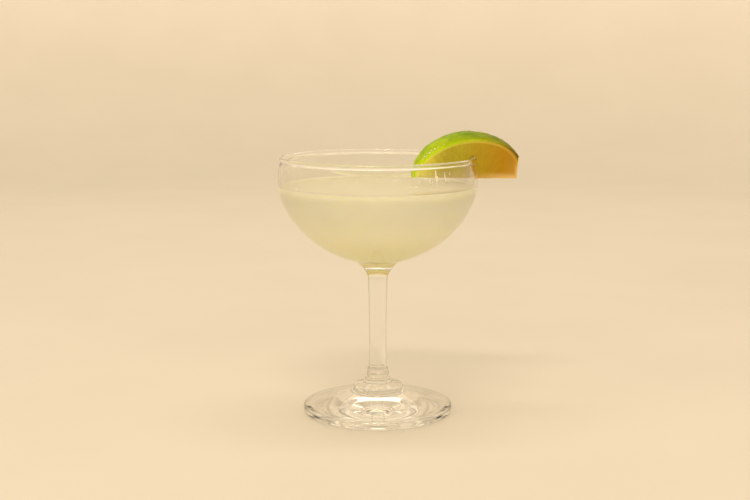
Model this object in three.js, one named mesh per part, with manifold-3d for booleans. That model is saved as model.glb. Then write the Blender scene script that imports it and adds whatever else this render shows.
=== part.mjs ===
// A daiquiri: a cloudy lime drink in a round stemmed coupe glass, with a lime wedge slit over the rim.
// Millimetres, +Z up. The origin is the centre of the foot's underside, on the glass's own axis, and
// the wedge sits on the rim on the +X side. Three pieces: the glass, the drink in it, and the wedge.

import * as THREE from 'three';
import { mergeVertices } from 'three/addons/utils/BufferGeometryUtils.js';
import Module from 'manifold-3d';

const wasm = await Module();
wasm.setup();

const radians = THREE.MathUtils.degToRad;
const point = (radius, height) => new THREE.Vector2(radius, height);

// Driving sizes of the glass. Its wall is thinnest at the rim, and thickens towards the bowl's floor.
const glassHeight = 130.2;
const rimRadius = 49;
const beadRadius = 1.25;
const bowlRadius = 49.85;
const bowlWidestHeight = 117.3;
const bowlDepth = 41.1;
const wallThickness = 1.5;
const floorThickness = 2.6;
const neckRadius = 5;
const neckHeight = 68.7;
const stemWaistRadius = 4.3;
const footRadius = 37.7;
const footEdgeHeight = 4;
const drumRadius = 14;
const segmentsAround = 48;

// Driving sizes of the drink, and of the gap that keeps touching pieces apart.
const drinkLevel = 115;
const meniscusRise = 0.9;
const meniscusWidth = 2.8;
const touchGap = 0.3;

// Driving sizes of the lime that the wedge is cut from, a sixth of the fruit, and where the wedge hangs.
const limeLength = 59.7;
const limeDiameter = 49;
const wedgeHalfAngle = radians(30);
const wedgeTipRounding = 0.6;
const knifePitch = radians(4);
const trimmedEndFromMiddle = 26.6;
const trimLean = radians(6);
const limeMiddle = [45.5, 11.7, 117.4];
const limeTurn = radians(16);
const limeTilt = radians(2.1);

// The foot is a thick disc whose top climbs to a low drum, with a stack of small rings under the stem.
// Each corner is a radius, a height and, where glass has flowed round it, the length cut off each side.
const footCorners = [
  [0, 0],
  [footRadius, 0, 1.3],
  [footRadius, footEdgeHeight, 1.2],
  [26.5, 5.9, 6],
  [drumRadius, 10.6, 0.8],
  [drumRadius - 1.4, 13.9, 0.7],
  [7.3, 14.9],
  [7.3, 16, 0.4],
  [6.3, 16.3],
  [6.45, 17.6, 0.45],
  [5.1, 18.1],
  [5.65, 18.7, 0.35],
  [5.6, 20.4, 0.4],
  [4.9, 20.9],
  [5.35, 21.4, 0.3],
  [5.2, 22.3, 0.4],
  [4.55, 23.4],
];
const shortestCurvedCut = 0.7;

function footOutline() {
  return footCorners.flatMap(([radius, height, cut], i) => {
    const corner = point(radius, height);
    if (!cut) {
      return [corner];
    }
    const before = point(...footCorners[i - 1]).sub(corner).setLength(cut).add(corner);
    const after = point(...footCorners[i + 1]).sub(corner).setLength(cut).add(corner);
    const steps = cut < shortestCurvedCut ? 1 : 3;
    return new THREE.QuadraticBezierCurve(before, corner, after).getPoints(steps);
  });
}

// The bowl below its widest ring is half an ellipsoid, drawn in very slightly at its shoulder.
const bowlReachPower = 1.05;
const bowlDropPower = 1.12;

function bowlPoint(radius, depth, angle) {
  const reach = Math.max(Math.cos(angle), 0) ** bowlReachPower;
  return point(radius * reach, bowlWidestHeight - depth * Math.sin(angle) ** bowlDropPower);
}

function bowlArc(radius, depth, fromAngle, toAngle, steps) {
  const at = (i) => fromAngle + ((toAngle - fromAngle) * i) / steps;
  return Array.from({ length: steps + 1 }, (_, i) => bowlPoint(radius, depth, at(i)));
}

// The stem leaves the foot's rings, thins to its waist, and flares into the bowl in one curve.
const bowlJointAngle = radians(75);
const neckReach = 3.8;
const shoulderReach = 1.5;

function stemOutline(foot) {
  const joint = bowlPoint(bowlRadius, bowlDepth, bowlJointAngle);
  const slope = bowlPoint(bowlRadius, bowlDepth, bowlJointAngle - 0.01).sub(joint).normalize();
  const neck = point(neckRadius, neckHeight);
  const waist = [point(stemWaistRadius, foot.y + 10), point(stemWaistRadius, neckHeight - 20)];
  const stem = new THREE.CubicBezierCurve(foot, ...waist, neck);
  const straightUp = point(neckRadius, neckHeight + neckReach);
  const intoBowl = joint.clone().addScaledVector(slope, -shoulderReach);
  const flare = new THREE.CubicBezierCurve(neck, straightUp, intoBowl, joint);
  return [...stem.getPoints(5).slice(1), ...flare.getPoints(6).slice(1)];
}

// Above its widest ring the wall leans in a little to the rim, which ends in a round bead.
const wallTop = point(rimRadius - 0.3, glassHeight - 2.3 * beadRadius);
const beadStart = radians(-25);
const beadSweep = radians(235);

function upperWall(offset, fromHeight, steps) {
  const lean = (height) => ((height - bowlWidestHeight) / (wallTop.y - bowlWidestHeight)) ** 2;
  return Array.from({ length: steps + 1 }, (_, i) => {
    const height = fromHeight + ((wallTop.y - fromHeight) * i) / steps;
    return point(bowlRadius - (bowlRadius - wallTop.x) * lean(height) + offset, height);
  });
}

function bead(radius) {
  const steps = 7;
  const centre = point(rimRadius - beadRadius, glassHeight - beadRadius);
  return Array.from({ length: steps + 1 }, (_, i) => {
    const angle = beadStart + (beadSweep * i) / steps;
    return point(centre.x + radius * Math.cos(angle), centre.y + radius * Math.sin(angle));
  });
}

// An outline turned about the glass's axis, with +Z up.
function turned(outline, segments = segmentsAround) {
  return new THREE.LatheGeometry(outline, segments).rotateX(Math.PI / 2);
}

function glassGeometry() {
  const foot = footOutline();
  return turned([
    ...foot,
    ...stemOutline(foot.at(-1)),
    ...bowlArc(bowlRadius, bowlDepth, bowlJointAngle, 0, 12).slice(1, -1),
    ...upperWall(0, bowlWidestHeight, 2),
    ...bead(beadRadius),
    ...upperWall(-wallThickness, bowlWidestHeight, 2).reverse(),
    ...bowlArc(bowlRadius - wallThickness, bowlDepth - floorThickness, 0, Math.PI / 2, 14).slice(1),
  ]);
}

// The drink fills the bowl to its level, and climbs the wall in a small meniscus.
function drinkGeometry() {
  const radius = bowlRadius - wallThickness - touchGap;
  const depth = bowlDepth - floorThickness - touchGap;
  const edgeDrop = bowlWidestHeight - drinkLevel - meniscusRise;
  const edgeAngle = Math.asin((edgeDrop / depth) ** (1 / bowlDropPower));
  const side = bowlArc(radius, depth, Math.PI / 2, edgeAngle, 14);
  const edge = side.at(-1);
  const foot = point(edge.x - meniscusWidth / 4, drinkLevel);
  const level = point(edge.x - meniscusWidth, drinkLevel);
  const meniscus = new THREE.QuadraticBezierCurve(edge, foot, level).getPoints(3).slice(1);
  return turned([...side, ...meniscus, point(0, drinkLevel)]);
}

function solid(geometry) {
  const bare = geometry.clone();
  bare.deleteAttribute('normal');
  bare.deleteAttribute('uv');
  const merged = mergeVertices(bare, 1e-4);
  return new wasm.Manifold(new wasm.Mesh({
    numProp: 3,
    vertProperties: merged.attributes.position.array,
    triVerts: new Uint32Array(merged.index.array),
  }));
}

function geometryOf(body) {
  const { vertProperties, triVerts } = body.getMesh();
  const shared = new THREE.BufferGeometry();
  shared.setAttribute('position', new THREE.BufferAttribute(vertProperties, 3));
  shared.setIndex(new THREE.BufferAttribute(triVerts, 1));
  const faceted = shared.toNonIndexed();
  faceted.computeVertexNormals();
  return faceted;
}

// The wedge lies along the fruit's core, its own X axis, with the rind up. Its two cut faces meet below
// in a blunt edge, which runs a little aslant of the core, and its outer end is trimmed nearly square.
function wholeLime() {
  const fruit = new THREE.SphereGeometry(limeDiameter / 2, 72, 48);
  return solid(fruit.rotateZ(Math.PI / 2).scale(limeLength / limeDiameter, 1, 1));
}

function wedgeCuts() {
  const reach = limeDiameter;
  const spread = reach * Math.tan(wedgeHalfAngle);
  const tipHeight = wedgeTipRounding / Math.sin(wedgeHalfAngle);
  const section = new THREE.Shape();
  section.absarc(0, tipHeight, wedgeTipRounding, Math.PI + wedgeHalfAngle, -wedgeHalfAngle, false);
  section.lineTo(spread, reach);
  section.lineTo(-spread, reach);
  const depth = 2 * reach;
  const bar = new THREE.ExtrudeGeometry(section, { depth, bevelEnabled: false, curveSegments: 4 });
  bar.rotateX(Math.PI / 2).rotateZ(Math.PI / 2).translate(-reach, 0, 0).rotateY(knifePitch);
  const inwards = [-Math.cos(trimLean), 0, -Math.sin(trimLean)];
  return solid(bar).trimByPlane(inwards, inwards[0] * trimmedEndFromMiddle);
}

// The knife's slit goes in from the core edge, as deep as the rim and a little wider than the wall.
function rimSlit() {
  const bottom = bowlWidestHeight - 2;
  const outer = upperWall(touchGap, bottom, 4);
  const inner = upperWall(-wallThickness - touchGap, bottom, 4).reverse();
  return turned([...outer, ...bead(beadRadius + touchGap), ...inner, outer[0].clone()], 4 * segmentsAround);
}

const limePlace = new THREE.Object3D();
limePlace.position.set(...limeMiddle);
limePlace.rotation.set(0, -limeTilt, limeTurn, 'ZYX');
limePlace.updateMatrix();

function limeWedgeGeometry() {
  const slit = solid(rimSlit().applyMatrix4(limePlace.matrix.clone().invert()));
  return geometryOf(wholeLime().intersect(wedgeCuts()).subtract(slit));
}

const clearGlass = new THREE.MeshStandardMaterial({
  color: 0xeef3f1, roughness: 0.03, metalness: 0, transparent: true, opacity: 0.35,
});
const cloudyDrink = new THREE.MeshStandardMaterial({ color: 0xe6e3bd, roughness: 0.12, metalness: 0 });
const limeRind = new THREE.MeshStandardMaterial({ color: 0xa3b034, roughness: 0.4, metalness: 0 });

const coupeGlass = new THREE.Mesh(glassGeometry(), clearGlass);
coupeGlass.name = 'coupe_glass';

const drink = new THREE.Mesh(drinkGeometry(), cloudyDrink);
drink.name = 'drink';

const limeWedge = new THREE.Mesh(limeWedgeGeometry(), limeRind);
limeWedge.name = 'lime_wedge';
limeWedge.position.copy(limePlace.position);
limeWedge.rotation.copy(limePlace.rotation);

const daiquiri = new THREE.Group();
daiquiri.add(coupeGlass, drink, limeWedge);

export default daiquiri;
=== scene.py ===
import math
import random

import bpy
from mathutils import Euler, Matrix, Vector, noise


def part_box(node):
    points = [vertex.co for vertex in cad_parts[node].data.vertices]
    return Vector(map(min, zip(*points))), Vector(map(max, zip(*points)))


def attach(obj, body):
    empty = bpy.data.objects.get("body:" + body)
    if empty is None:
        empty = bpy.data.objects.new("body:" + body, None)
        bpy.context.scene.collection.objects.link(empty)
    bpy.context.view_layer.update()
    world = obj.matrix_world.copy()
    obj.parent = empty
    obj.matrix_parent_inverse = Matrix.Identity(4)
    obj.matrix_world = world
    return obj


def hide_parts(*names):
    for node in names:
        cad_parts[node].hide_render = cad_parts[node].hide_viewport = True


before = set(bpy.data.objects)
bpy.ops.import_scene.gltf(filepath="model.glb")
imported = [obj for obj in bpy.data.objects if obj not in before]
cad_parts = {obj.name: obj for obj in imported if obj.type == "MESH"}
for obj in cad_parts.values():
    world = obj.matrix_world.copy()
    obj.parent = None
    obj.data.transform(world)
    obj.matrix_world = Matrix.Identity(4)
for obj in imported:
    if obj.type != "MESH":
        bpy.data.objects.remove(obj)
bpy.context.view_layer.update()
scene = bpy.context.scene

# Camera: as far off and as high as the photograph was taken from, level from side to side and tipped
# a little down at the glass. It stands a hair left of the glass's own axis.
camera_place = (-0.0014, -0.650, 0.1866)
camera_tip = math.radians(9.06)
camera = bpy.data.objects.new("camera", bpy.data.cameras.new("camera"))
camera.data.sensor_width = 36
camera.data.lens = 62.8
camera.data.clip_start = 0.01
camera.location = camera_place
camera.rotation_euler = (math.pi / 2 - camera_tip, 0, 0)
scene.collection.objects.link(camera)
scene.camera = camera

# Sweep: a round cove of pale warm paper, flat under the glass and curved up into a low wall all round, so
# that every view has the same plain ground. It is matt and faintly mottled by its fibres. It is painted a
# little darker on the floor than on its wall: painted shade, which evens out the lamps' stronger light on
# the floor.
sweep_bend_start = 1.1
sweep_bend_radius = 0.8
sweep_top = 1.25
sweep_drop = 0.00005
sweep_steps = 96
axis_width = 1e-7


def surface(name, points, faces):
    """A smooth mesh object at the origin, from points in metres and faces."""
    mesh = bpy.data.meshes.new(name)
    mesh.from_pydata(points, [], faces)
    mesh.validate()
    mesh.shade_smooth()
    made = bpy.data.objects.new(name, mesh)
    scene.collection.objects.link(made)
    return made


def node_tools(tree):
    """Functions that add a node to a tree, and join two of its sockets."""

    def add(kind, **settings):
        node = tree.nodes.new("ShaderNode" + kind)
        for key, value in settings.items():
            setattr(node, key, value)
        return node

    def join(source, target):
        tree.links.new(source, target)

    return add, join


def finish_nodes(name):
    """A new material with its Principled shader, and functions that add and join its nodes."""
    made = bpy.data.materials.new(name)
    made.use_nodes = True
    return made, made.node_tree.nodes["Principled BSDF"], *node_tools(made.node_tree)


def group_nodes(name, takes, gives):
    """A new node group with its two ends, and functions that add and join its nodes."""
    group = bpy.data.node_groups.new(name, "ShaderNodeTree")
    for side, sockets in (("INPUT", takes), ("OUTPUT", gives)):
        for label, kind in sockets.items():
            group.interface.new_socket(label, in_out=side, socket_type="NodeSocket" + kind)
    given = group.nodes.new("NodeGroupInput")
    result = group.nodes.new("NodeGroupOutput")
    return group, given, result, *node_tools(group)


def set_inputs(node, **values):
    """Sets a node's inputs by name, with underscores for spaces."""
    for key, value in values.items():
        node.inputs[key.replace("_", " ")].default_value = value
    return node


def ramp(add, *stops):
    """A colour ramp through (position, colour) stops."""
    node = add("ValToRGB")
    elements = node.color_ramp.elements
    while len(elements) < len(stops):
        elements.new(0.5)
    for element, (position, colour) in zip(elements, stops):
        element.position = position
        element.color = (*colour, 1)
    return node


def mottled_colour():
    """A node group that the paper and each small wet thing use. It puts out a colour that drifts in
    flecks between a deep and a pale tone."""
    takes = {"Place": "Vector", "Scale": "Float", "Detail": "Float", "Deep": "Color", "Pale": "Color"}
    group, given, result, add, join = group_nodes("mottled_colour", takes, {"Colour": "Color"})
    flecks = add("TexNoise")
    share = set_inputs(add("MapRange"), From_Min=0.3, From_Max=0.7)
    tone = add("MixRGB")
    join(given.outputs["Place"], flecks.inputs["Vector"])
    join(given.outputs["Scale"], flecks.inputs["Scale"])
    join(given.outputs["Detail"], flecks.inputs["Detail"])
    join(flecks.outputs["Fac"], share.inputs["Value"])
    join(share.outputs["Result"], tone.inputs["Fac"])
    join(given.outputs["Deep"], tone.inputs["Color1"])
    join(given.outputs["Pale"], tone.inputs["Color2"])
    join(tone.outputs["Color"], result.inputs["Colour"])
    return group


def turned(name, outline, steps_around, closed=False):
    """A surface turned about the upright axis from an outline of (radius, height) points."""
    points, rings, faces = [], [], []
    for radius, height in outline:
        on_axis = radius < axis_width
        count = 1 if on_axis else steps_around
        rings.append([len(points) + i % count for i in range(steps_around + 1)])
        for i in range(count):
            angle = math.tau * i / steps_around
            points.append((radius * math.cos(angle), radius * math.sin(angle), height))
    if closed:
        rings.append(rings[0])
    for low, high in zip(rings, rings[1:]):
        for i in range(steps_around):
            corners = (low[i], low[i + 1], high[i + 1], high[i])
            faces.append(tuple(dict.fromkeys(corners)))
    return surface(name, points, faces)


sweep_bend = [
    (
        sweep_bend_start + sweep_bend_radius * math.sin(math.radians(angle)),
        sweep_bend_radius * (1 - math.cos(math.radians(angle))) - sweep_drop,
    )
    for angle in range(0, 91, 5)
]
sweep = turned(
    "sweep",
    [(0, -sweep_drop), (sweep_bend_start / 2, -sweep_drop), *sweep_bend, (sweep_bend[-1][0], sweep_top)],
    sweep_steps,
)
mottled = mottled_colour()
paper, shader, add, join = finish_nodes("pale_paper")
place = add("TexCoord").outputs["Object"]
fibres = set_inputs(add("Group", node_tree=mottled), Scale=9.0, Detail=3.0)
set_inputs(fibres, Deep=(0.835, 0.795, 0.725, 1), Pale=(0.860, 0.820, 0.750, 1))
height = add("SeparateXYZ")
wall_share = set_inputs(add("MapRange"), From_Min=0.0, From_Max=0.25)
floor_painted_shade = ramp(add, (0.0, (0.79, 0.79, 0.78)), (1.0, (1, 1, 1)))
toned = set_inputs(add("MixRGB", blend_type="MULTIPLY"), Fac=1.0)
join(place, fibres.inputs["Place"])
join(place, height.inputs["Vector"])
join(height.outputs["Z"], wall_share.inputs["Value"])
join(wall_share.outputs["Result"], floor_painted_shade.inputs["Fac"])
join(fibres.outputs["Colour"], toned.inputs["Color1"])
join(floor_painted_shade.outputs["Color"], toned.inputs["Color2"])
join(toned.outputs["Color"], shader.inputs["Base Color"])
set_inputs(shader, Roughness=0.85, Specular_IOR_Level=0.2)
sweep.data.materials.append(paper)

# Lights: a long soft box high behind, which the rim and the foot draw out into white lines, a key above
# the camera, a dim box high at each side, a broad fill from the front that is in no reflection, and one
# overhead that lights the sweep's far wall. The room round them is warm and pale.
scene.view_settings.view_transform = "Standard"
scene.cycles.max_bounces = 24
scene.cycles.glossy_bounces = 12
scene.cycles.transmission_bounces = 20
scene.cycles.transparent_max_bounces = 24
room = bpy.data.worlds.new("room")
room.use_nodes = True
set_inputs(room.node_tree.nodes["Background"], Color=(1.0, 0.83, 0.60, 1), Strength=0.62)
scene.world = room


def soft_box(name, place, aim, width, height, watts, seen=True):
    """A rectangle of warm light. One that isn't seen lights things but is in no reflection."""
    lamp = bpy.data.lights.new(name, "AREA")
    lamp.shape = "RECTANGLE"
    lamp.size = width
    lamp.size_y = height
    lamp.energy = watts
    lamp.color = (1.0, 0.85, 0.65)
    made = bpy.data.objects.new(name, lamp)
    made.location = place
    made.rotation_euler = (Vector(aim) - Vector(place)).to_track_quat("-Z", "Y").to_euler()
    made.visible_glossy = seen
    made.visible_transmission = seen
    scene.collection.objects.link(made)


bowl_middle = (0, 0, 0.11)
soft_box("back_box", (-0.1, 0.95, 0.86), bowl_middle, 2.4, 0.28, 2.7)
soft_box("key_box", (-0.12, -0.60, 1.00), bowl_middle, 0.42, 0.12, 3.0)
soft_box("left_box", (-0.95, -0.55, 0.95), bowl_middle, 0.35, 0.6, 1.0)
soft_box("right_box", (1.0, -0.25, 0.95), bowl_middle, 0.3, 0.6, 0.6)
soft_box("front_fill", (0, -1.2, 0.75), bowl_middle, 1.8, 0.6, 7.8, seen=False)
soft_box("wall_box", (0, 0.3, 2.2), (0, 1.7, 0.4), 2.0, 0.5, 17)

# Glass: bowl, stem and foot are one piece of clear soda-lime glass, pressed and spun, with a fire-polished
# bead at the rim. A low drum and four small rings join the stem to the foot, whose underside is hollowed.
steps_around = 224
glass_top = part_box("coupe_glass")[1]
bowl_radius = glass_top.x
glass_height = glass_top.z
rim_drawn_in = 0.00085
rim_radius = bowl_radius - rim_drawn_in
bead_radius = 0.00125
bead_start = math.radians(-56)
bead_sweep = math.radians(266)
bead_steps = 26
wall_top = glass_height - 2.25 * bead_radius
wall_lean = rim_drawn_in + 0.0003
rim_pinch = 0.00008
pinch_reach = 0.0008
widest_height = 0.1173
bowl_depth = 0.0411
reach_power = 1.05
drop_power = 1.12
bowl_steps = 48
wall = 0.0015
floor_glass = 0.0026
joint_angle = math.radians(75)
shoulder_reach = 0.0015
flare_steps = 16
neck_radius = 0.005
neck_height = 0.0687
neck_reach = 0.0038
waist_radius = 0.0043
waist_above_foot = 0.010
waist_below_neck = 0.020
stem_steps = 20
corner_steps = 6
foot_corners = [
    (0, 0.0007, 0),
    (0.031, 0.0004, 0.0008),
    (0.0335, 0, 0.0006),
    (0.0377, 0, 0.0013),
    (0.0377, 0.004, 0.0012),
    (0.0265, 0.0059, 0.006),
    (0.014, 0.0106, 0.0008),
    (0.0126, 0.0139, 0.0007),
    (0.0073, 0.0149, 0.0002),
    (0.0073, 0.016, 0.0004),
    (0.0063, 0.0163, 0.00015),
    (0.00645, 0.0176, 0.00045),
    (0.0051, 0.0181, 0.00025),
    (0.00565, 0.0187, 0.00035),
    (0.0056, 0.0204, 0.0004),
    (0.0049, 0.0209, 0.0002),
    (0.00535, 0.0214, 0.0003),
    (0.0052, 0.0223, 0.0004),
    (0.00455, 0.0234, 0),
]


def curve(start, first, second, end, steps):
    """Points along a cubic curve, without its start."""
    corners = [Vector(point) for point in (start, first, second, end)]
    made = []
    for i in range(1, steps + 1):
        t = i / steps
        weights = ((1 - t) ** 3, 3 * t * (1 - t) ** 2, 3 * t * t * (1 - t), t**3)
        made.append(tuple(sum((w * c for w, c in zip(weights, corners)), Vector((0, 0)))))
    return made


def eased(corners):
    """An outline through corners of (radius, height, cut), each cut corner rounded."""
    made = []
    for i, (radius, height, cut) in enumerate(corners):
        corner = Vector((radius, height))
        if not cut:
            made.append(tuple(corner))
            continue
        towards = [Vector(corners[j][:2]) - corner for j in (i - 1, i + 1)]
        before, after = (corner + way.normalized() * cut for way in towards)
        near_before, near_after = (end.lerp(corner, 2 / 3) for end in (before, after))
        made += [tuple(before), *curve(before, near_before, near_after, after, corner_steps)]
    return made


def bowl_point(radius, depth, angle):
    """A point of a bowl's side, from 0 at its widest ring to a quarter turn at its floor."""
    reach = max(math.cos(angle), 0) ** reach_power
    return radius * reach, widest_height - depth * math.sin(angle) ** drop_power


def bowl_arc(radius, depth, start, end):
    """Points of a bowl's side between two of its angles."""
    angles = [start + (end - start) * i / bowl_steps for i in range(bowl_steps + 1)]
    return [bowl_point(radius, depth, angle) for angle in angles]


def stem_outline(foot):
    """The stem's side, thin at its waist and flared into the bowl in one curve."""
    joint = Vector(bowl_point(bowl_radius, bowl_depth, joint_angle))
    slope = Vector(bowl_point(bowl_radius, bowl_depth, joint_angle - 0.01)) - joint
    into_bowl = joint - slope.normalized() * shoulder_reach
    low_waist = (waist_radius, foot[1] + waist_above_foot)
    high_waist = (waist_radius, neck_height - waist_below_neck)
    neck = (neck_radius, neck_height)
    straight_up = (neck_radius, neck_height + neck_reach)
    stem = curve(foot, low_waist, high_waist, neck, stem_steps)
    return stem + curve(neck, straight_up, into_bowl, joint, flare_steps)


def upper_wall(inset, start, steps=16, pinch=0.0):
    """The wall from a height up to the bead, leaning in a little and pinched just under it."""
    made = []
    for i in range(steps + 1):
        height = start + (wall_top - start) * i / steps
        share = (height - widest_height) / (wall_top - widest_height)
        pinched = pinch * math.exp(-((wall_top - height) / pinch_reach) ** 2)
        made.append((bowl_radius - wall_lean * share**2 - inset - pinched, height))
    return made


def bead(radius):
    """The rim's round edge, from low on its outer side over to its inner side."""
    middle = (rim_radius - bead_radius, glass_height - bead_radius)
    angles = [bead_start + bead_sweep * i / bead_steps for i in range(bead_steps + 1)]
    return [(middle[0] + radius * math.cos(a), middle[1] + radius * math.sin(a)) for a in angles]


def inner_wall(inset=0.0, start=0.0):
    """The inside of the bowl from an angle below its widest ring down to its floor."""
    return bowl_arc(bowl_radius - wall - inset, bowl_depth - floor_glass - inset, start, math.pi / 2)


foot_outline = eased(foot_corners)
glass = turned(
    "glass",
    foot_outline
    + stem_outline(foot_outline[-1])
    + bowl_arc(bowl_radius, bowl_depth, joint_angle, 0)[1:-1]
    + upper_wall(0, widest_height, pinch=rim_pinch)
    + bead(bead_radius)
    + upper_wall(wall, widest_height)[::-1]
    + inner_wall()[1:],
    steps_around,
)
clear, shader, add, join = finish_nodes("clear_glass")
set_inputs(shader, Transmission_Weight=1.0, IOR=1.5)
handling = set_inputs(add("TexNoise"), Scale=60.0, Detail=4.0)
smudges = set_inputs(add("MapRange"), From_Min=0.55, From_Max=0.9, To_Min=0.0, To_Max=0.05)
ripple = set_inputs(add("TexNoise"), Scale=28.0, Detail=1.0)
ripple_bump = set_inputs(add("Bump"), Strength=0.035, Distance=0.0008)
place = add("TexCoord").outputs["Object"]
join(place, handling.inputs["Vector"])
join(place, ripple.inputs["Vector"])
join(handling.outputs["Fac"], smudges.inputs["Value"])
join(smudges.outputs["Result"], shader.inputs["Roughness"])
join(ripple.outputs["Fac"], ripple_bump.inputs["Height"])
join(ripple_bump.outputs["Normal"], shader.inputs["Normal"])
# The glass has a faint tint of its own, and is painted grey where its surface is seen edge on: painted
# shade for the dark edges of glass. The solid stem gets most of it, the foot less and the thin bowl least.
grazing = set_inputs(add("LayerWeight"), Blend=0.5)
height = add("SeparateXYZ")
edge_shade_by_height = ramp(
    add,
    (0.0, (0.30, 0.30, 0.30)),
    (0.10, (0.45, 0.45, 0.45)),
    (0.14, (1, 1, 1)),
    (0.70, (1, 1, 1)),
    (0.80, (0.12, 0.12, 0.12)),
)
height_share = set_inputs(add("MapRange"), From_Min=0.0, From_Max=0.1)
painted_edge_shade = set_inputs(add("MapRange"), From_Min=0.40, From_Max=0.85)
edge_shade_amount = add("Math", operation="MULTIPLY")
tint_and_painted_edge_shade = ramp(add, (0.0, (0.975, 0.98, 0.975)), (1.0, (0.36, 0.34, 0.30)))
join(place, height.inputs["Vector"])
join(height.outputs["Z"], height_share.inputs["Value"])
join(height_share.outputs["Result"], edge_shade_by_height.inputs["Fac"])
join(grazing.outputs["Facing"], painted_edge_shade.inputs["Value"])
join(painted_edge_shade.outputs["Result"], edge_shade_amount.inputs[0])
join(edge_shade_by_height.outputs["Color"], edge_shade_amount.inputs[1])
join(edge_shade_amount.outputs["Value"], tint_and_painted_edge_shade.inputs["Fac"])
join(tint_and_painted_edge_shade.outputs["Color"], shader.inputs["Base Color"])
# Light from the lamps and off the floor goes straight through, dimmed a little, and more at the edges.
edge = set_inputs(add("LayerWeight"), Blend=0.35)
shade = ramp(add, (0.0, (0.97, 0.97, 0.96)), (0.45, (0.90, 0.90, 0.88)), (1.0, (0.42, 0.41, 0.39)))
through = add("BsdfTransparent")
for_lamps, for_floor = add("MixShader"), add("MixShader")
ray = add("LightPath")
join(edge.outputs["Facing"], shade.inputs["Fac"])
join(shade.outputs["Color"], through.inputs["Color"])
join(ray.outputs["Is Shadow Ray"], for_lamps.inputs["Fac"])
join(shader.outputs["BSDF"], for_lamps.inputs[1])
join(through.outputs["BSDF"], for_lamps.inputs[2])
join(ray.outputs["Is Diffuse Ray"], for_floor.inputs["Fac"])
join(for_lamps.outputs["Shader"], for_floor.inputs[1])
join(through.outputs["BSDF"], for_floor.inputs[2])
join(for_floor.outputs["Shader"], clear.node_tree.nodes["Material Output"].inputs["Surface"])
glass.data.materials.append(clear)
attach(glass, "root")
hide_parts("coupe_glass")

# Drink: rum, sugar and strained lime juice, shaken with ice until it is cloudy, and still now. It wets the
# glass, so its edge climbs the wall. It is yellower deep in the bowl, and it is also painted lighter low
# in the bowl and darker just below its surface: painted light and shade that even out how the lamps fall
# on it.
drink_level = 0.115
meniscus_rise = 0.0009
meniscus_width = 0.0028
meniscus_steps = 8
level_rings = 12
sunk_in_wall = -0.00012


def drink_outline():
    """The drink's side up the wall, its meniscus, and its level surface in to the axis."""
    depth = bowl_depth - floor_glass - sunk_in_wall
    drop = widest_height - drink_level - meniscus_rise
    side = inner_wall(sunk_in_wall, math.asin((drop / depth) ** (1 / drop_power)))[::-1]
    edge = Vector(side[-1])
    near = (edge.x - meniscus_width * 0.1, drink_level + meniscus_rise * 0.2)
    far = (edge.x - meniscus_width * 0.5, drink_level)
    level = (edge.x - meniscus_width, drink_level)
    across = [(level[0] * (1 - i / level_rings), drink_level) for i in range(1, level_rings + 1)]
    return side + curve(edge, near, far, level, meniscus_steps) + across


drink = turned("drink", drink_outline(), steps_around)
drink.data.set_sharp_from_angle(angle=math.radians(50))
cloudy, shader, add, join = finish_nodes("cloudy_drink")
place = add("TexCoord").outputs["Object"]
height = add("SeparateXYZ")
depth = set_inputs(add("MapRange"), From_Min=0.079, From_Max=0.1152)
# Yellower deep down; painted lighter low in the bowl and darker just under the surface: painted light and
# shade.
tint_and_painted_light_by_depth = ramp(
    add,
    (0.0, (0.975, 0.865, 0.470)),
    (0.12, (0.965, 0.925, 0.590)),
    (0.45, (0.890, 0.887, 0.705)),
    (0.80, (0.750, 0.754, 0.655)),
    (0.90, (0.690, 0.694, 0.600)),
    (0.972, (0.665, 0.669, 0.575)),
    (0.993, (0.590, 0.585, 0.415)),
)
clouds = set_inputs(add("TexNoise"), Scale=38.0, Detail=3.0, Distortion=0.6)
cloudiness = set_inputs(add("MapRange"), From_Min=0.3, From_Max=0.7, To_Min=0.985, To_Max=1.015)
tint = set_inputs(add("MixRGB", blend_type="MULTIPLY"), Fac=1.0)
join(place, height.inputs["Vector"])
join(place, clouds.inputs["Vector"])
join(height.outputs["Z"], depth.inputs["Value"])
join(depth.outputs["Result"], tint_and_painted_light_by_depth.inputs["Fac"])
join(tint_and_painted_light_by_depth.outputs["Color"], tint.inputs["Color1"])
join(clouds.outputs["Fac"], cloudiness.inputs["Value"])
join(cloudiness.outputs["Result"], tint.inputs["Color2"])
join(tint.outputs["Color"], shader.inputs["Base Color"])
set_inputs(shader, Roughness=0.06, IOR=1.34, Subsurface_Weight=1.0, Subsurface_Scale=0.009)
shader.inputs["Subsurface Radius"].default_value = (1.0, 0.9, 0.6)
drink.data.materials.append(cloudy)
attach(drink, "root")
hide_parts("drink")

# Washed wall: where the drink swung up as it was poured, a milky film has dried on the inside of the
# glass. It is densest just above the drink and ends higher up in an uneven, streaky edge.
film_bottom = 0.1153
film_top = 0.1272
film_thickness = 0.00004
film_sunk = 0.00001
film_steps = 16


def wall_radius(height):
    """The bowl's inner radius at a height."""
    if height >= widest_height:
        return upper_wall(wall, height, 1)[0][0]
    depth = bowl_depth - floor_glass
    angle = math.asin(((widest_height - height) / depth) ** (1 / drop_power))
    return bowl_point(bowl_radius - wall, depth, angle)[0]


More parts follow.
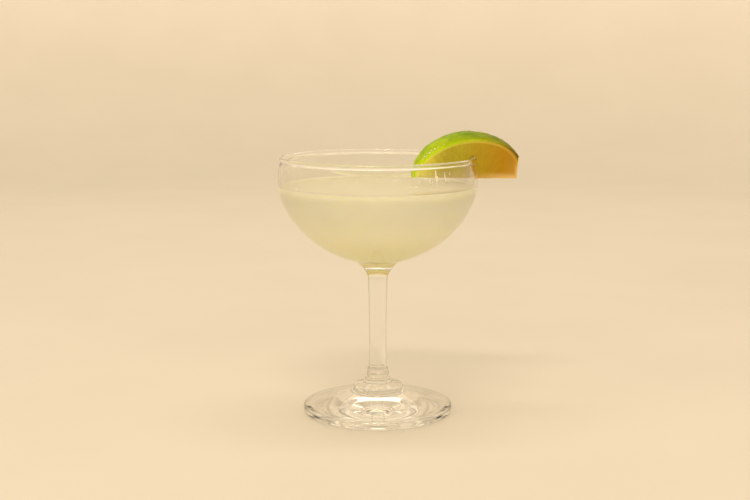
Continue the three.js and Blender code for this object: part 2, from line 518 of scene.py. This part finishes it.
film_heights = [film_bottom + (film_top - film_bottom) * i / film_steps for i in range(film_steps + 1)]
film = turned(
    "film",
    [(wall_radius(z) + film_sunk, z) for z in film_heights]
    + [(wall_radius(z) - film_thickness, z) for z in film_heights[::-1]],
    steps_around,
    closed=True,
)
milky, shader, add, join = finish_nodes("milky_film")
place = add("TexCoord").outputs["Object"]
stretched = set_inputs(add("Mapping"), Scale=(1.0, 1.0, 0.35))
streaks = set_inputs(add("TexNoise"), Scale=230.0, Detail=5.0, Roughness=0.6)
patches = set_inputs(add("TexNoise"), Scale=42.0, Detail=3.0)
height = add("SeparateXYZ")
fade = set_inputs(add("MapRange"), From_Min=film_bottom, From_Max=film_top, To_Min=1.0, To_Max=0.0)
uneven = add("Math", operation="MULTIPLY_ADD")
uneven.inputs[1].default_value = 1.1
uneven.inputs[2].default_value = -0.55
raised = add("Math", operation="ADD")
body = ramp(add, (0.15, (0, 0, 0)), (0.6, (0.11, 0.11, 0.11)), (1.0, (0.24, 0.24, 0.24)))
streaky = set_inputs(add("MapRange"), From_Min=0.3, From_Max=0.7, To_Min=0.7, To_Max=1.15)
thin = add("Math", operation="MULTIPLY", use_clamp=True)
tone = ramp(add, (0.3, (0.84, 0.77, 0.62)), (0.7, (0.92, 0.87, 0.75)))
join(place, stretched.inputs["Vector"])
join(stretched.outputs["Vector"], streaks.inputs["Vector"])
join(place, patches.inputs["Vector"])
join(place, height.inputs["Vector"])
join(height.outputs["Z"], fade.inputs["Value"])
join(patches.outputs["Fac"], uneven.inputs[0])
join(uneven.outputs["Value"], raised.inputs[0])
join(fade.outputs["Result"], raised.inputs[1])
join(raised.outputs["Value"], body.inputs["Fac"])
join(streaks.outputs["Fac"], streaky.inputs["Value"])
join(body.outputs["Color"], thin.inputs[0])
join(streaky.outputs["Result"], thin.inputs[1])
join(thin.outputs["Value"], shader.inputs["Alpha"])
join(streaks.outputs["Fac"], tone.inputs["Fac"])
join(tone.outputs["Color"], shader.inputs["Base Color"])
set_inputs(shader, Roughness=0.5, Specular_IOR_Level=0.3)
film.data.materials.append(milky)
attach(film, "root")

# Drips: a few drops of the drink that run down the inside of the wall, most of them in front of the lime,
# each narrow above and round below, with a bright point of light in it. They are painted paler than the
# drink, near white: a painted highlight over their cloudy colour.
lime_drips = [
    (29.8, 0.1220, 0.00042, 0.0013),
    (31.6, 0.1214, 0.00028, 0.0008),
    (34.0, 0.1246, 0.00050, 0.0026),
    (34.8, 0.1229, 0.00092, 0.0014),
    (34.2, 0.1213, 0.00038, 0.0010),
    (40.4, 0.1238, 0.00036, 0.0022),
    (40.9, 0.1219, 0.00056, 0.0010),
    (24.0, 0.1222, 0.00024, 0.0008),
]
strewn_drips = 26
drip_proud = 0.8
drip_taper = 0.3
ball_rings = 8
ball_sides = 14


def add_ball(points, faces, middle, across, up, out, taper=0.0):
    """Adds a ball stretched along three directions, narrower at its top by its taper."""
    first = len(points)
    points.append(middle - up)
    for r in range(1, ball_rings):
        angle = math.pi * r / ball_rings - math.pi / 2
        width = math.cos(angle) * (1 - taper * (0.5 + 0.5 * math.sin(angle)))
        for i in range(ball_sides):
            turn = math.tau * i / ball_sides
            side = across * math.cos(turn) + out * math.sin(turn)
            points.append(middle + up * math.sin(angle) + side * width)
    points.append(middle + up)
    last = len(points) - 1
    for i in range(ball_sides):
        j = (i + 1) % ball_sides
        faces.append((first, first + 1 + j, first + 1 + i))
        faces.append((last, last - ball_sides + i, last - ball_sides + j))
        for r in range(ball_rings - 2):
            low = first + 1 + r * ball_sides
            faces.append((low + i, low + j, low + ball_sides + j, low + ball_sides + i))


def wall_frame(degrees, height):
    """A point on the inside of the wall, and the directions along the rim and into the bowl. Zero degrees
    faces the viewer, and the angle grows towards the lime."""
    turn = math.radians(degrees)
    outwards = Vector((math.sin(turn), -math.cos(turn), 0))
    along = Vector((math.cos(turn), math.sin(turn), 0))
    return outwards * wall_radius(height) + Vector((0, 0, height)), along, -outwards


draw = random.Random(5)
points, faces = [], []
strewn = [
    (
        draw.uniform(-180, 180),
        draw.uniform(0.1210, 0.1262),
        draw.uniform(0.00012, 0.00026),
        draw.uniform(0.0002, 0.0008),
    )
    for _ in range(strewn_drips)
]
for degrees, drip_height, half_width, half_length in lime_drips + strewn:
    spot, along, inwards = wall_frame(degrees, drip_height)
    up = Vector((0, 0, half_length))
    out = inwards * half_width * drip_proud
    add_ball(points, faces, spot, along * half_width, up, out, drip_taper)
drips = surface("drips", points, faces)
wet, shader, add, join = finish_nodes("wet_drips")
cloud = set_inputs(add("Group", node_tree=mottled), Scale=900.0, Detail=2.0)
set_inputs(cloud, Deep=(0.97, 0.92, 0.70, 1), Pale=(1.0, 0.97, 0.82, 1))
join(add("TexCoord").outputs["Object"], cloud.inputs["Place"])
join(cloud.outputs["Colour"], shader.inputs["Base Color"])
set_inputs(shader, Roughness=0.04, IOR=1.34, Transmission_Weight=0.15)
drips.data.materials.append(wet)
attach(drips, "root")

# Bubbles: the last of the shaken foam, small domes on the drink below the lime and along its edge. Each is
# a thin skin of the drink round air, and floats a little sunk into the surface.
bubble_groups = [
    ((0.0103, 0.0268), 0.0020, 9),
    ((0.0172, -0.0040), 0.0022, 8),
    ((0.0250, 0.0345), 0.0030, 9),
    ((-0.0330, 0.0290), 0.0024, 6),
    ((-0.0390, -0.0130), 0.0016, 4),
]
smallest_bubble = 0.0002
largest_bubble = 0.0006
bubble_sunk = 0.35
upright = [Vector((1, 0, 0)), Vector((0, 0, 1)), Vector((0, -1, 0))]


def bubble_places(draw):
    """Places of domes that don't overlap, each with its radius."""
    placed = []
    for (x, y), spread, count in bubble_groups:
        for _ in range(count):
            radius = draw.uniform(smallest_bubble, largest_bubble)
            spot = Vector((draw.gauss(x, spread / 2), draw.gauss(y, spread / 2)))
            clear_of_rest = all((spot - other).length > radius + size for other, size in placed)
            if clear_of_rest and spot.length < wall_radius(drink_level) - meniscus_width:
                placed.append((spot, radius))
    return placed


points, faces = [], []
for spot, radius in bubble_places(random.Random(11)):
    middle = Vector((spot.x, spot.y, drink_level - radius * bubble_sunk))
    add_ball(points, faces, middle, *[way * radius for way in upright])
bubbles = surface("bubbles", points, faces)
foam, shader, add, join = finish_nodes("foam")
froth = set_inputs(add("Group", node_tree=mottled), Scale=1400.0, Detail=2.0)
set_inputs(froth, Deep=(0.88, 0.88, 0.74, 1), Pale=(0.94, 0.94, 0.86, 1))
join(add("TexCoord").outputs["Object"], froth.inputs["Place"])
join(froth.outputs["Colour"], shader.inputs["Base Color"])
set_inputs(shader, Roughness=0.08, IOR=1.34, Subsurface_Weight=0.6, Subsurface_Scale=0.0006)
bubbles.data.materials.append(foam)
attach(bubbles, "root")

# Pulp: a few crumbs of lime that slipped through the strainer and sank. They are soft brownish fibres, and
# lie against the glass low in the bowl.
pulp_bits = [
    (-7.5, 0.0794, 0.00042),
    (33.0, 0.0818, 0.00048),
    (36.5, 0.0822, 0.00030),
    (21.0, 0.0809, 0.00024),
]
bit_stretch = 1.5
points, faces = [], []
for degrees, bit_height, radius in pulp_bits:
    spot = wall_frame(degrees, bit_height)[0]
    across, up, out = [way * radius for way in upright]
    add_ball(points, faces, spot, across * bit_stretch, up, out)
crumbs = surface("pulp", points, faces)
fibrous, shader, add, join = finish_nodes("pulp")
strands = set_inputs(add("Group", node_tree=mottled), Scale=2000.0, Detail=2.0)
set_inputs(strands, Deep=(0.30, 0.23, 0.07, 1), Pale=(0.46, 0.38, 0.14, 1))
join(add("TexCoord").outputs["Object"], strands.inputs["Place"])
join(strands.outputs["Colour"], shader.inputs["Base Color"])
set_inputs(shader, Roughness=0.5)
crumbs.data.materials.append(fibrous)
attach(crumbs, "root")

# Lime: a lengthwise sixth of the fruit, with waxy pored skin, thin pith and wet flesh. The knife ran a
# little aslant of the core, trimmed the outer end nearly square, and slit the wedge to straddle the rim.
lime_half = 0.02985
lime_radius = 0.0245
half_angle = math.radians(30)
tip_round = 0.0006
tip_share = 0.2
knife_slope = math.tan(math.radians(4))
trimmed_at = 0.0266
trim_slope = math.tan(math.radians(6))
slit_room = -0.00003
lime_middle = (0.0455, 0.0117, 0.1174)
lime_turn = (0.0, math.radians(-2.1), math.radians(16))
lime_place = Matrix.Translation(lime_middle) @ Euler(lime_turn).to_matrix().to_4x4()
along_steps = 200
face_steps = 60
rind_steps = 100
tip_steps = 3
lean_rounds = 5
cap_rings = 30
pores_per_metre = 950
pore_depth = 0.00018
pore_edge = 0.42
lumps_per_metre = 150
lump_height = 0.00038
small_lumps_per_metre = 420
small_lump_height = 0.00026
sac_width = 0.0017
sac_length = 0.0065
sac_proud = 0.00009
flesh_sunk = 0.00016
edge_waves_per_metre = 140
edge_wave_height = 0.0004
edge_wave_reach = 0.002
edge_half_width = 0.0012
skin_margin = 2e-3
face_margin = 2e-5
skin_starts = 0.97
least_facing = 0.7


def wedge_point(part, share, x):
    """A point of the wedge's section at x: on its blunt edge, on a cut face, or over its rind."""
    radius = lime_radius * math.sqrt(max(1 - (x / lime_half) ** 2, 0))
    apex = -x * knife_slope
    level = apex * math.cos(half_angle)
    reach = max(math.sqrt(max(radius**2 - apex**2 + level**2, 0)) - level, 0)
    end = Vector((reach * math.sin(half_angle), apex + reach * math.cos(half_angle)))
    tip = min(tip_round, reach * tip_share)
    middle = apex + tip / math.sin(half_angle)
    if part == "edge":
        angle = -math.pi / 2 + (math.pi / 2 - half_angle) * share
        return Vector((x, tip * math.cos(angle), middle + tip * math.sin(angle)))
    if part == "face":
        foot = Vector((tip * math.cos(half_angle), middle - tip * math.sin(half_angle)))
        return Vector((x, *foot.lerp(end, share)))
    angle = math.atan2(end.x, end.y) * (1 - 2 * share)
    return Vector((x, radius * math.sin(angle), radius * math.cos(angle)))


def wedge_section(x):
    """One closed V-shaped section, which leans more the nearer it is to the trimmed end."""
    lean = trim_slope * ((x + lime_half) / (trimmed_at + lime_half)) ** 3
    near = [("edge", i / tip_steps) for i in range(tip_steps)]
    near += [("face", i / face_steps) for i in range(face_steps)]
    section = []
    for part, share in near + [("rind", i / rind_steps) for i in range(rind_steps + 1)]:
        point = wedge_point(part, share, x)
        for _ in range(lean_rounds):
            point = wedge_point(part, share, x - lean * point.z)
        section.append(point)
    far = [Vector((p.x, -p.y, p.z)) for p in section[len(near) - 1:0:-1]]
    return section + far


def wedge_mesh():
    """The plain wedge before its slit, in place on the rim."""
    start = -1 / math.sqrt(lime_half**-2 + (knife_slope / lime_radius) ** 2)
    end_angle = math.acos(trimmed_at / start)
    points, faces = [], []
    for i in range(1, along_steps + 1):
        points += wedge_section(start * math.cos(end_angle * i / along_steps))
    count = len(points) // along_steps
    rim = points[-count:]
    middle = sum(rim, Vector()) / count
    for k in range(1, cap_rings):
        points += [p.lerp(middle, k / cap_rings) for p in rim]
    rings = len(points) // count
    for r in range(rings - 1):
        for i in range(count):
            j = (i + 1) % count
            low, high = r * count, (r + 1) * count
            faces.append((low + i, high + i, high + j, low + j))
    tip, end = len(points), len(points) + 1
    points += [Vector((start, 0, -start * knife_slope)), middle]
    last = (rings - 1) * count
    for i in range(count):
        j = (i + 1) % count
        faces.append((tip, i, j))
        faces.append((last + j, last + i, end))
    return surface("lime", [lime_place @ p for p in points], faces)


def slit_wedge():
    """The wedge with the rim's slit cut out of it."""
    made = wedge_mesh()
    start = widest_height - 0.002
    outer = upper_wall(-slit_room, start, pinch=rim_pinch)
    inner = upper_wall(wall + slit_room, start)[::-1]
    knife = turned("knife", outer + bead(bead_radius + slit_room) + inner, steps_around, closed=True)
    cut = made.modifiers.new("slit", "BOOLEAN")
    cut.operation = "DIFFERENCE"
    cut.object = knife
    shape = bpy.data.meshes.new_from_object(made.evaluated_get(bpy.context.evaluated_depsgraph_get()))
    made.modifiers.clear()
    made.data = shape
    bpy.data.objects.remove(knife)
    return made


def smooth_step(low, high, value):
    """0 below the low value and 1 above the high one, with a soft start and end."""
    share = min(max((value - low) / (high - low), 0), 1)
    return share * share * (3 - 2 * share)


def fruit_depth(p):
    """1 at the skin and 0 at the core's middle, in the wedge's own place."""
    return math.sqrt((p.x / lime_half) ** 2 + (p.y**2 + p.z**2) / lime_radius**2)


def skin_outward(p):
    """The direction out of the fruit at a point, in the wedge's own place."""
    return Vector((p.x / lime_half**2, p.y / lime_radius**2, p.z / lime_radius**2)).normalized()


def above_knife(p):
    """How high a point is over the line that the knife's two cuts meet in."""
    return p.z + p.x * knife_slope


def from_cut(p):
    """A point's distance from the nearer cut face, measured into the wedge."""
    return above_knife(p) * math.sin(half_angle) - abs(p.y) * math.cos(half_angle)


def rind_relief(p):
    """Height of the skin over its smooth form, with pores about a millimetre apart."""
    pores = noise.voronoi(p * pores_per_metre)[0][0]
    lumps = noise.noise(p * lumps_per_metre) * lump_height
    small_lumps = noise.noise(p * small_lumps_per_metre + Vector((5, 0, 0))) * small_lump_height
    return lumps + small_lumps - pore_depth * (1 - smooth_step(0.0, pore_edge, pores))


def juice_sacs(p):
    """How far a point of a cut face is inside its juice sac, from 0 at the sac's skin."""
    depth = fruit_depth(p)
    fan = p.x / (0.3 + 0.7 * depth)
    side = 7.0 if p.y > 0 else 2.0
    near = noise.voronoi(Vector((fan / sac_width, depth * lime_radius / sac_length, side)))[0]
    return near[1] - near[0]


def flesh_relief(p):
    """How far the flesh stands off the knife's plane, sunk a little inside the skin."""
    sacs = sac_proud * smooth_step(0.0, 0.5, juice_sacs(p))
    inside = smooth_step(0.0016, 0.003, above_knife(p)) * (1 - smooth_step(0.93, 0.96, fruit_depth(p)))
    return inside * (sacs - flesh_sunk)


def give_relief(lime):
    """Moves the skin's and the flesh's points in and out. It also says how deep in its juice sac each
    point is, and how many millimetres it is from a cut face."""
    back = lime_place.inverted()
    turn = lime_place.to_3x3()
    sacs = lime.data.attributes.new("juice_sac", "FLOAT", "POINT")
    cuts = lime.data.attributes.new("from_cut", "FLOAT", "POINT")
    for vertex in lime.data.vertices:
        p = back @ vertex.co
        off_face = from_cut(p)
        sideways = Vector((0, math.copysign(math.cos(half_angle), p.y), -math.sin(half_angle)))
        on_end = p.x + p.z * trim_slope > trimmed_at - face_margin
        sacs.data[vertex.index].value = juice_sacs(p)
        cuts.data[vertex.index].value = off_face * 1000
        if abs(fruit_depth(p) - 1) < skin_margin:
            calm = smooth_step(0.0, 0.0008, off_face)
            vertex.co += turn @ (skin_outward(p) * rind_relief(p) * calm)
        elif abs(off_face) < face_margin and not on_end:
            vertex.co += turn @ (sideways * flesh_relief(p))
        elif on_end:
            vertex.co += turn @ Vector((flesh_relief(p), 0, 0))
        if abs(p.y) < edge_half_width and above_knife(p) < edge_wave_reach:
            wave = noise.noise(Vector((p.x * edge_waves_per_metre, 3, 0))) * edge_wave_height
            vertex.co.z += wave * (1 - above_knife(p) / edge_wave_reach)


lime = slit_wedge()
give_relief(lime)
lime.data.shade_smooth()
lime.data.set_sharp_from_angle(angle=math.radians(38))


def fruit_place():
    """A node group that both of the lime's finishes use. It puts out a point's place in the wedge's own
    directions, and its depth: 1 at the skin and 0 at the core's middle, less towards the fruit's two ends
    by the end thickness, because skin and pith are thickest there."""
    takes = {"Object Place": "Vector", "End Thickness": "Float"}
    gives = {"Wedge Place": "Vector", "Depth": "Float"}
    group, given, result, add, join = group_nodes("fruit_place", takes, gives)
    own = set_inputs(add("Mapping", vector_type="TEXTURE"), Location=lime_middle, Rotation=lime_turn)
    scaled = add("VectorMath", operation="MULTIPLY")
    scaled.inputs[1].default_value = (1 / lime_half, 1 / lime_radius, 1 / lime_radius)
    length = add("VectorMath", operation="LENGTH")
    along = add("SeparateXYZ")
    unsigned = add("Math", operation="ABSOLUTE")
    ends = add("Math", operation="POWER")
    ends.inputs[1].default_value = 6.0
    thicker = add("Math", operation="MULTIPLY_ADD")
    join(given.outputs["Object Place"], own.inputs["Vector"])
    join(own.outputs["Vector"], scaled.inputs[0])
    join(scaled.outputs["Vector"], length.inputs[0])
    join(scaled.outputs["Vector"], along.inputs["Vector"])
    join(along.outputs["X"], unsigned.inputs[0])
    join(unsigned.outputs["Value"], ends.inputs[0])
    join(ends.outputs["Value"], thicker.inputs[0])
    join(given.outputs["End Thickness"], thicker.inputs[1])
    join(length.outputs["Value"], thicker.inputs[2])
    join(own.outputs["Vector"], result.inputs["Wedge Place"])
    join(thicker.outputs["Value"], result.inputs["Depth"])
    return group


in_fruit = fruit_place()
skin, shader, add, join = finish_nodes("lime_skin")
fruit = set_inputs(add("Group", node_tree=in_fruit), End_Thickness=0.0)
join(add("TexCoord").outputs["Object"], fruit.inputs["Object Place"])
patches = set_inputs(add("TexNoise"), Scale=110.0, Detail=4.0, Roughness=0.6)
greens = ramp(
    add,
    (0.28, (0.110, 0.215, 0.005)),
    (0.5, (0.195, 0.305, 0.007)),
    (0.72, (0.310, 0.420, 0.012)),
)
apart = add("SeparateXYZ")
along = set_inputs(add("MapRange"), From_Min=-0.028, From_Max=0.026)
# Along the wedge the skin is painted much lighter at its inner end and darker and browner at its trimmed
# end: painted light and painted shade along its length.
tone_and_painted_light_along = ramp(add, (0.0, (1.8, 1.68, 1.6)), (0.45, (1.0, 1.0, 1.0)), (1.0, (0.66, 0.38, 0.35)))
skin_toned_and_lit = set_inputs(add("MixRGB", blend_type="MULTIPLY"), Fac=1.0)
cut = add("Attribute", attribute_name="from_cut")
near_cut = ramp(add, (0.0, (1, 1, 1)), (0.5, (0.25, 0.25, 0.25)), (1.0, (0, 0, 0)))
cut_span = set_inputs(add("MapRange"), From_Min=0.0, From_Max=6.0)
yellowed = add("MixRGB")
yellowed.inputs["Color2"].default_value = (0.265, 0.355, 0.004, 1)
pores = set_inputs(add("TexVoronoi"), Scale=1250.0)
# The pores are painted darker at their middles: painted shade in their pits.
pore_shade = ramp(add, (0.0, (0.62, 0.70, 0.60)), (0.35, (1, 1, 1)))
shaded = set_inputs(add("MixRGB", blend_type="MULTIPLY"), Fac=1.0)
pore_bump = set_inputs(add("Bump"), Strength=0.5, Distance=0.00012)
join(fruit.outputs["Wedge Place"], patches.inputs["Vector"])
join(fruit.outputs["Wedge Place"], pores.inputs["Vector"])
join(patches.outputs["Fac"], greens.inputs["Fac"])
join(cut.outputs["Fac"], cut_span.inputs["Value"])
join(cut_span.outputs["Result"], near_cut.inputs["Fac"])
join(near_cut.outputs["Color"], yellowed.inputs["Fac"])
join(greens.outputs["Color"], yellowed.inputs["Color1"])
join(fruit.outputs["Wedge Place"], apart.inputs["Vector"])
join(apart.outputs["X"], along.inputs["Value"])
join(along.outputs["Result"], tone_and_painted_light_along.inputs["Fac"])
join(yellowed.outputs["Color"], skin_toned_and_lit.inputs["Color1"])
join(tone_and_painted_light_along.outputs["Color"], skin_toned_and_lit.inputs["Color2"])
join(pores.outputs["Distance"], pore_shade.inputs["Fac"])
join(skin_toned_and_lit.outputs["Color"], shaded.inputs["Color1"])
join(pore_shade.outputs["Color"], shaded.inputs["Color2"])
join(shaded.outputs["Color"], shader.inputs["Base Color"])
join(pores.outputs["Distance"], pore_bump.inputs["Height"])
join(pore_bump.outputs["Normal"], shader.inputs["Normal"])
set_inputs(shader, Roughness=0.28, Specular_IOR_Level=0.02, Subsurface_Weight=0.15)
set_inputs(shader, Subsurface_Scale=0.0015)
lime.data.materials.clear()
lime.data.materials.append(skin)

flesh, shader, add, join = finish_nodes("lime_flesh")
fruit = set_inputs(add("Group", node_tree=in_fruit), End_Thickness=0.05)
join(add("TexCoord").outputs["Object"], fruit.inputs["Object Place"])
apart = add("SeparateXYZ")
along = set_inputs(add("MapRange"), From_Min=-0.026, From_Max=0.025)
# The flesh runs from pale yellow at the wedge's inner end to amber at its trimmed end; its much lighter
# inner end is partly painted light.
juicy = ramp(
    add,
    (0.0, (0.860, 0.840, 0.130)),
    (0.25, (0.520, 0.442, 0.043)),
    (0.42, (0.535, 0.458, 0.037)),
    (0.55, (0.500, 0.375, 0.016)),
    (0.86, (0.485, 0.262, 0.002)),
    (1.0, (0.540, 0.300, 0.030)),
)
sac = add("Attribute", attribute_name="juice_sac")
sac_light = ramp(add, (0.0, (1.10, 1.10, 1.15)), (0.22, (1.0, 1.0, 1.0)), (0.8, (0.97, 0.96, 0.92)))
sacs = set_inputs(add("MixRGB", blend_type="MULTIPLY"), Fac=1.0)
over_knife = add("Math", operation="MULTIPLY_ADD")
over_knife.inputs[1].default_value = knife_slope
core = set_inputs(add("MapRange"), From_Min=0.0008, From_Max=0.0040, To_Min=1.0, To_Max=0.0)
to_end = add("Math", operation="MULTIPLY_ADD")
to_end.inputs[1].default_value = trim_slope
end = set_inputs(add("MapRange"), From_Min=trimmed_at - 0.0018, From_Max=trimmed_at - 0.0004)
core_along = set_inputs(add("MapRange"), From_Min=0.004, From_Max=0.016, To_Min=0.25, To_Max=1.0)
core_part = add("Math", operation="MULTIPLY")
pale = add("Math", operation="MAXIMUM")
core_mix = add("MixRGB")
core_mix.inputs["Color2"].default_value = (0.800, 0.580, 0.230, 1)
rim_at = ramp(add, (0.892, (0, 0, 0)), (0.918, (1, 1, 1)))
# The peel and pith round the cut faces run from yellow-green at the inner end to dark brown at the trimmed
# end, where the dark is partly painted shade.
rim_at_inner_end = ramp(
    add,
    (0.915, (0.670, 0.610, 0.080)),
    (0.945, (0.680, 0.660, 0.090)),
    (0.966, (0.570, 0.680, 0.015)),
    (0.992, (0.440, 0.600, 0.004)),
)
rim_at_trimmed_end = ramp(
    add,
    (0.915, (0.590, 0.360, 0.030)),
    (0.945, (0.620, 0.390, 0.045)),
    (0.964, (0.340, 0.250, 0.008)),
    (0.985, (0.190, 0.125, 0.003)),
)
rim_along = set_inputs(add("MapRange"), From_Min=0.48, From_Max=0.92)
rim_colour = add("MixRGB")
# The peel's edge is painted paler and whiter towards the inner end: painted light.
rim_painted_light = ramp(add, (0.0, (1.35, 1.42, 2.2)), (0.25, (1.0, 1.18, 1.1)), (0.44, (1, 1, 1)))
rim_lit = set_inputs(add("MixRGB", blend_type="MULTIPLY"), Fac=1.0)
# The trimmed end is all pith, with only a thin line of peel round it.
end_face = set_inputs(add("MapRange"), From_Min=trimmed_at - 0.0005, From_Max=trimmed_at - 0.0002)
end_peel = set_inputs(add("MapRange"), From_Min=1.004, From_Max=1.014)
rim_share = add("MixRGB")
rim_mix = add("MixRGB")
join(fruit.outputs["Wedge Place"], apart.inputs["Vector"])
join(apart.outputs["X"], along.inputs["Value"])
join(apart.outputs["X"], over_knife.inputs[0])
join(apart.outputs["Z"], over_knife.inputs[2])
join(along.outputs["Result"], juicy.inputs["Fac"])
join(juicy.outputs["Color"], sacs.inputs["Color1"])
join(sac.outputs["Fac"], sac_light.inputs["Fac"])
join(sac_light.outputs["Color"], sacs.inputs["Color2"])
join(over_knife.outputs["Value"], core.inputs["Value"])
join(apart.outputs["Z"], to_end.inputs[0])
join(apart.outputs["X"], to_end.inputs[2])
join(to_end.outputs["Value"], end.inputs["Value"])
join(apart.outputs["X"], core_along.inputs["Value"])
join(core.outputs["Result"], core_part.inputs[0])
join(core_along.outputs["Result"], core_part.inputs[1])
join(core_part.outputs["Value"], pale.inputs[0])
join(end.outputs["Result"], pale.inputs[1])
join(pale.outputs["Value"], core_mix.inputs["Fac"])
join(sacs.outputs["Color"], core_mix.inputs["Color1"])
join(fruit.outputs["Depth"], rim_at.inputs["Fac"])
join(fruit.outputs["Depth"], rim_at_inner_end.inputs["Fac"])
join(fruit.outputs["Depth"], rim_at_trimmed_end.inputs["Fac"])
join(along.outputs["Result"], rim_along.inputs["Value"])
join(rim_along.outputs["Result"], rim_colour.inputs["Fac"])
join(rim_at_inner_end.outputs["Color"], rim_colour.inputs["Color1"])
join(rim_at_trimmed_end.outputs["Color"], rim_colour.inputs["Color2"])
join(to_end.outputs["Value"], end_face.inputs["Value"])
join(fruit.outputs["Depth"], end_peel.inputs["Value"])
join(end_face.outputs["Result"], rim_share.inputs["Fac"])
join(rim_at.outputs["Color"], rim_share.inputs["Color1"])
join(end_peel.outputs["Result"], rim_share.inputs["Color2"])
join(rim_share.outputs["Color"], rim_mix.inputs["Fac"])
join(core_mix.outputs["Color"], rim_mix.inputs["Color1"])
join(along.outputs["Result"], rim_painted_light.inputs["Fac"])
join(rim_colour.outputs["Color"], rim_lit.inputs["Color1"])
join(rim_painted_light.outputs["Color"], rim_lit.inputs["Color2"])
join(rim_lit.outputs["Color"], rim_mix.inputs["Color2"])
join(rim_mix.outputs["Color"], shader.inputs["Base Color"])
set_inputs(shader, Roughness=0.26, IOR=1.36, Specular_IOR_Level=0.25)
set_inputs(shader, Subsurface_Weight=0.6, Subsurface_Scale=0.003)
shader.inputs["Subsurface Radius"].default_value = (1.0, 0.7, 0.15)
lime.data.materials.append(flesh)


def paint_cut_faces():
    """The skin keeps its own finish, and every face that the knife made is flesh."""
    back = lime_place.inverted()
    turn = back.to_3x3()
    for face in lime.data.polygons:
        p = back @ face.center
        faces_out = skin_outward(p).dot(turn @ face.normal) > least_facing
        on_skin = fruit_depth(p) > skin_starts and faces_out
        face.material_index = 0 if on_skin else 1


paint_cut_faces()
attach(lime, "root")
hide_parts("lime_wedge")

# Juice: beads that the knife pressed out of the rind, left along the cut at its low end. They are a little
# green and cling to the skin by a flattened side. They are painted pale and bright, near white, and let
# little light through: a painted glint.
juice_beads = [
    (-0.0250, 0.955, 0.00030),
    (-0.0241, 0.900, 0.00044),
    (-0.0233, 0.965, 0.00026),
    (-0.0228, 0.860, 0.00030),
    (-0.0219, 0.925, 0.00052),
    (-0.0209, 0.870, 0.00036),
    (-0.0203, 0.955, 0.00030),
    (-0.0194, 0.905, 0.00046),
    (-0.0181, 0.955, 0.00024),
    (-0.0176, 0.880, 0.00028),
    (-0.0150, 0.940, 0.00026),
]
bead_proud = 0.7
points, faces = [], []
for along_lime, share, radius in juice_beads:
    spot = wedge_point("rind", share, along_lime)
    outward = skin_outward(spot)
    across = outward.cross(Vector((1, 0, 0))).normalized()
    upward = across.cross(outward)
    ways = [lime_place.to_3x3() @ way * radius for way in (across, upward, outward * bead_proud)]
    add_ball(points, faces, lime_place @ spot, *ways)
beads = surface("beads", points, faces)
juice, shader, add, join = finish_nodes("lime_juice")
cloud = set_inputs(add("Group", node_tree=mottled), Scale=1100.0, Detail=2.0)
set_inputs(cloud, Deep=(0.92, 0.96, 0.62, 1), Pale=(0.98, 0.99, 0.80, 1))
join(add("TexCoord").outputs["Object"], cloud.inputs["Place"])
join(cloud.outputs["Colour"], shader.inputs["Base Color"])
set_inputs(shader, Roughness=0.03, IOR=1.34, Transmission_Weight=0.2)
beads.data.materials.append(juice)
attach(beads, "root")
